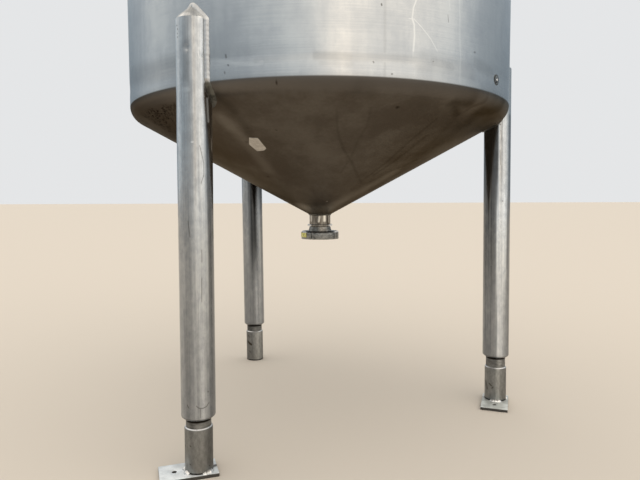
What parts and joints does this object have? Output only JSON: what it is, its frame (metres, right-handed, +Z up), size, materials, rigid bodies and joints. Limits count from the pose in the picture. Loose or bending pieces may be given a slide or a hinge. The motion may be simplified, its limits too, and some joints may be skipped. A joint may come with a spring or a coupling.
{
  "type": "stainless steel mixing tank",
  "caption": "Upright cylindrical steel vessel with a conical bottom, coned top, manway, top-mounted agitator drive and bottom outlet union, standing on tubular legs with levelling feet.",
  "frame": {"origin": "on the floor, under the middle of the bounding box; the tank's own axis is 36.3 mm to the -X side of it", "axes": "+Z up along the tank's axis, -Y towards the front, where the picture was taken from, +X to the right"},
  "size_m": [1.6724, 1.6, 3.9379],
  "materials": {
    "shell_steel": "dull rolled stainless sheet with streaks and scratches",
    "bottom_steel": "dull weathered stainless, brown-grey with dirt smears",
    "leg_steel": "drawn stainless pipe, satin with dents and scratches",
    "foot_steel": "dull dirty stainless",
    "plate_steel": "pale matt plate with dirt round the weld",
    "polished_steel": "turned and polished stainless",
    "tag_yellow": "faded yellow film, blank",
    "drive_paint": "grey-blue machine enamel"
  },
  "bodies": {
    "root": {"shell_plate_1": "shell_steel", "shell_plate_2": "shell_steel", "shell_plate_3": "shell_steel", "bottom_cone_1": "bottom_steel", "bottom_cone_2": "bottom_steel", "bottom_cone_3": "bottom_steel", "top_cone_1": "shell_steel", "top_cone_2": "shell_steel", "top_cone_3": "shell_steel", "earth_boss": "polished_steel", "leg_left": "leg_steel", "leg_right": "leg_steel", "leg_back": "leg_steel", "leg_cap_left": "leg_steel", "leg_cap_right": "leg_steel", "leg_cap_back": "leg_steel", "foot_neck_left": "foot_steel", "foot_neck_right": "foot_steel", "foot_neck_back": "foot_steel", "foot_sleeve_left": "foot_steel", "foot_sleeve_right": "foot_steel", "foot_sleeve_back": "foot_steel", "foot_plate_left": "plate_steel", "foot_plate_right": "plate_steel", "outlet_stub": "polished_steel", "outlet_liner": "polished_steel", "outlet_nut": "foot_steel", "outlet_tag": "tag_yellow", "manway_neck": "shell_steel", "manway_lid": "shell_steel", "manway_hinge": "leg_steel", "manway_handle": "polished_steel", "manway_clamp_1": "leg_steel", "manway_clamp_2": "leg_steel", "manway_clamp_3": "leg_steel", "agitator_pad": "shell_steel", "agitator_lantern": "drive_paint", "agitator_shaft": "polished_steel", "agitator_gearbox": "drive_paint", "agitator_motor": "drive_paint", "agitator_terminal_box": "drive_paint", "inlet_nozzle": "polished_steel", "inlet_cap": "foot_steel", "lifting_lug_left": "leg_steel", "lifting_lug_right": "leg_steel"}
  },
  "joints": []
}
